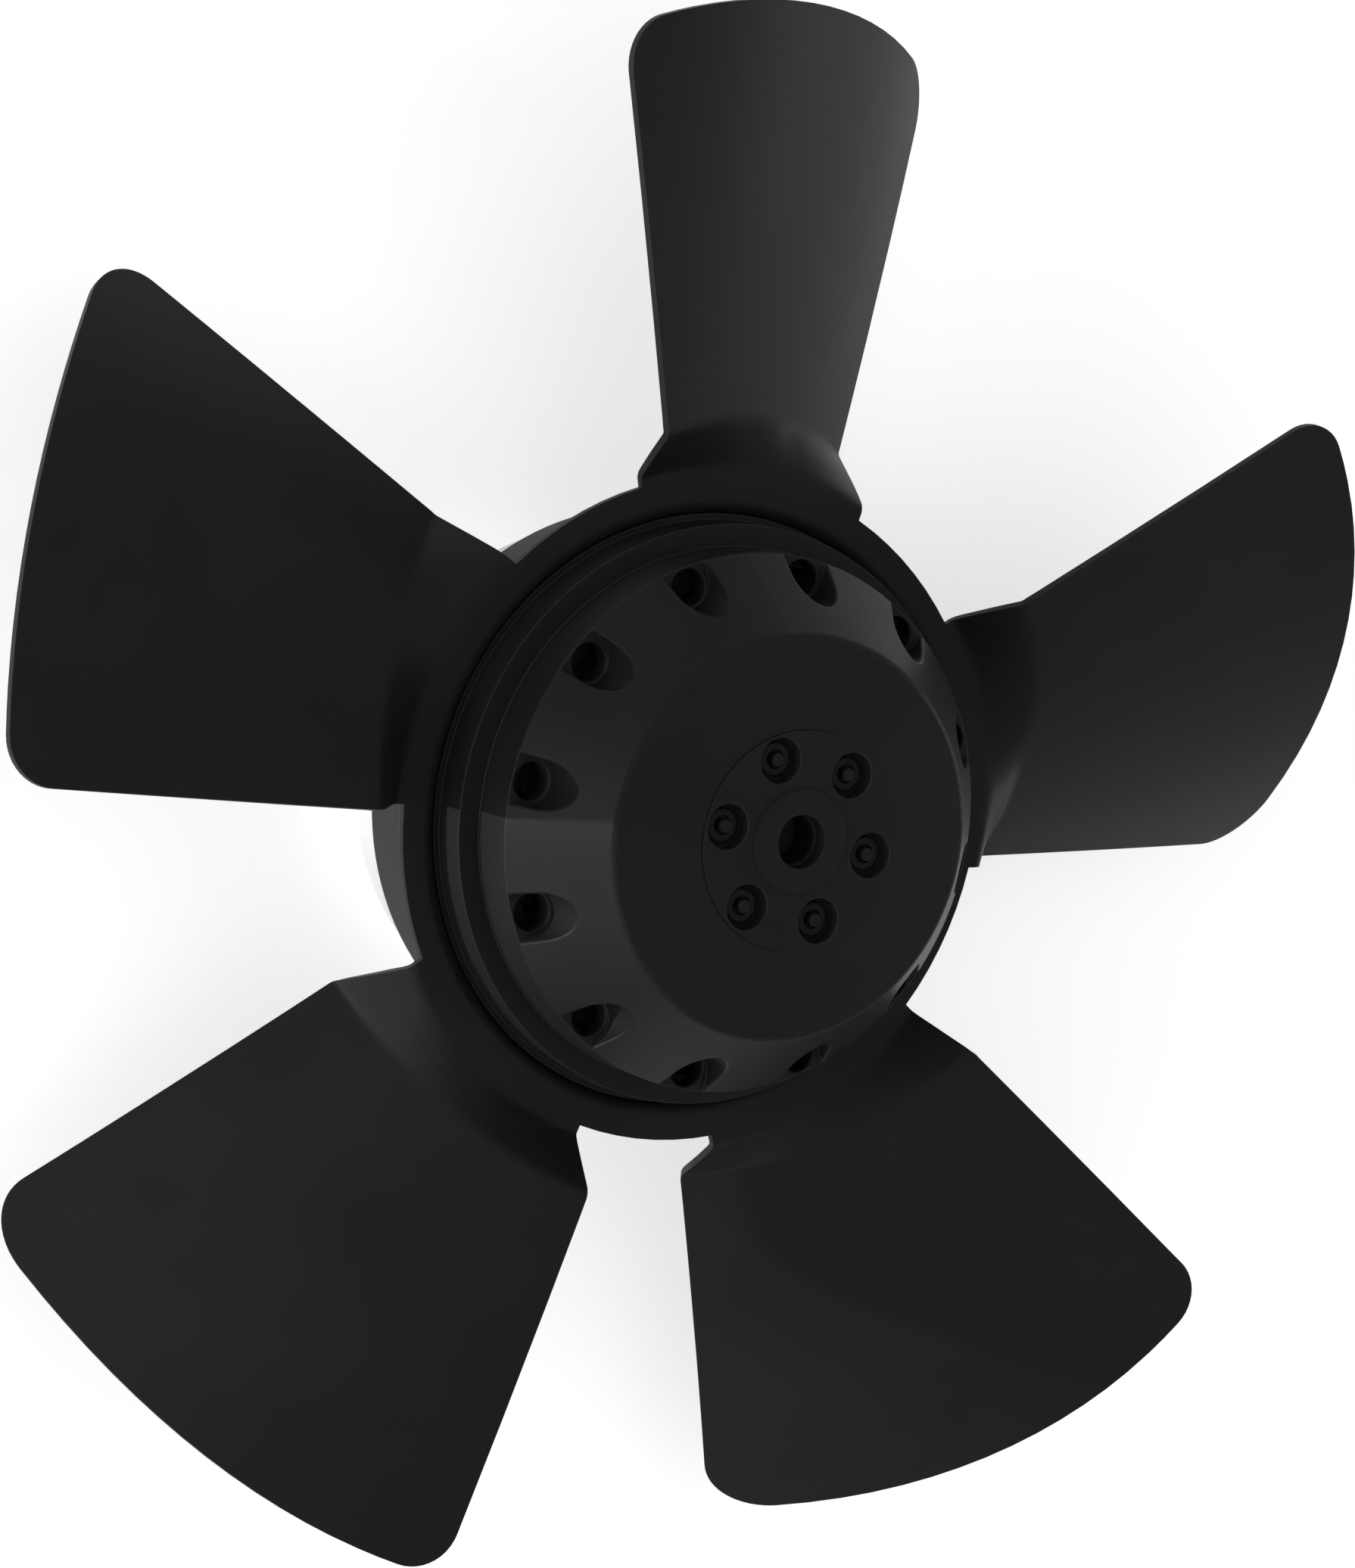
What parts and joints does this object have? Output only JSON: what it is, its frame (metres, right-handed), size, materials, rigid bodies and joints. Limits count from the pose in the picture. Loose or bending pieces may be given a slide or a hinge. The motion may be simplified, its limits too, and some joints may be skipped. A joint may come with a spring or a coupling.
{
  "type": "axial fan",
  "caption": "Axial fan with an external rotor motor: formed sheet-metal impeller pressed on a round vented rotor that turns on a cast rear mounting flange.",
  "frame": {"origin": "centre of the rear mounting face, on the shaft's axis", "axes": "+Z along the shaft's axis, out of the rotor's flat front face; +Y along the first blade"},
  "size_m": [0.4462, 0.4345, 0.125],
  "materials": {
    "impeller_paint": "matte black powder coat",
    "rotor_paint": "matte black paint over cast metal",
    "rivet_steel": "black painted steel",
    "ground_steel": "ground",
    "spring_steel": "oiled dark",
    "electrical_steel": "stacked laminations",
    "cast_aluminium": "bare die cast, satin",
    "insulating_board": "fibre board",
    "lacquered_copper": "lacquered copper wire",
    "cutout_sleeve": "sleeved capsule",
    "pressed_zinc_steel": "zinc plated",
    "black_rubber": "moulded",
    "screw_brass": "machined",
    "polished_steel": "polished",
    "pressed_cage_steel": "pressed"
  },
  "bodies": {
    "stator": {"stator_flange": "cast_aluminium", "stator_laminations": "electrical_steel", "front_end_board": "insulating_board", "rear_end_board": "insulating_board", "winding": "lacquered_copper", "thermal_cutout": "cutout_sleeve", "bearing_wave_spring": "spring_steel", "rear_cap": "pressed_zinc_steel", "cable_grommet": "black_rubber", "earth_screw": "screw_brass", "front_bearing_outer_ring": "ground_steel", "front_bearing_shields": "pressed_cage_steel", "rear_bearing_outer_ring": "ground_steel", "rear_bearing_shields": "pressed_cage_steel"},
    "rotor": {"impeller": "impeller_paint", "rotor_cup": "rotor_paint", "rotor_hub": "rotor_paint", "hub_rivets": "rivet_steel", "rivet_pins": "rivet_steel", "shaft": "ground_steel", "shaft_retaining_ring": "spring_steel", "rotor_laminations": "electrical_steel", "rotor_cage": "cast_aluminium", "front_bearing_inner_ring": "ground_steel", "front_bearing_balls": "polished_steel", "front_bearing_cage": "pressed_cage_steel", "rear_bearing_inner_ring": "ground_steel", "rear_bearing_balls": "polished_steel", "rear_bearing_cage": "pressed_cage_steel"}
  },
  "joints": [
    {"name": "rotor_spin", "type": "hinge", "parent": "stator", "child": "rotor", "pos_m": [0, 0, 0.06], "axis": [0, 0, 1], "continuous": true}
  ]
}
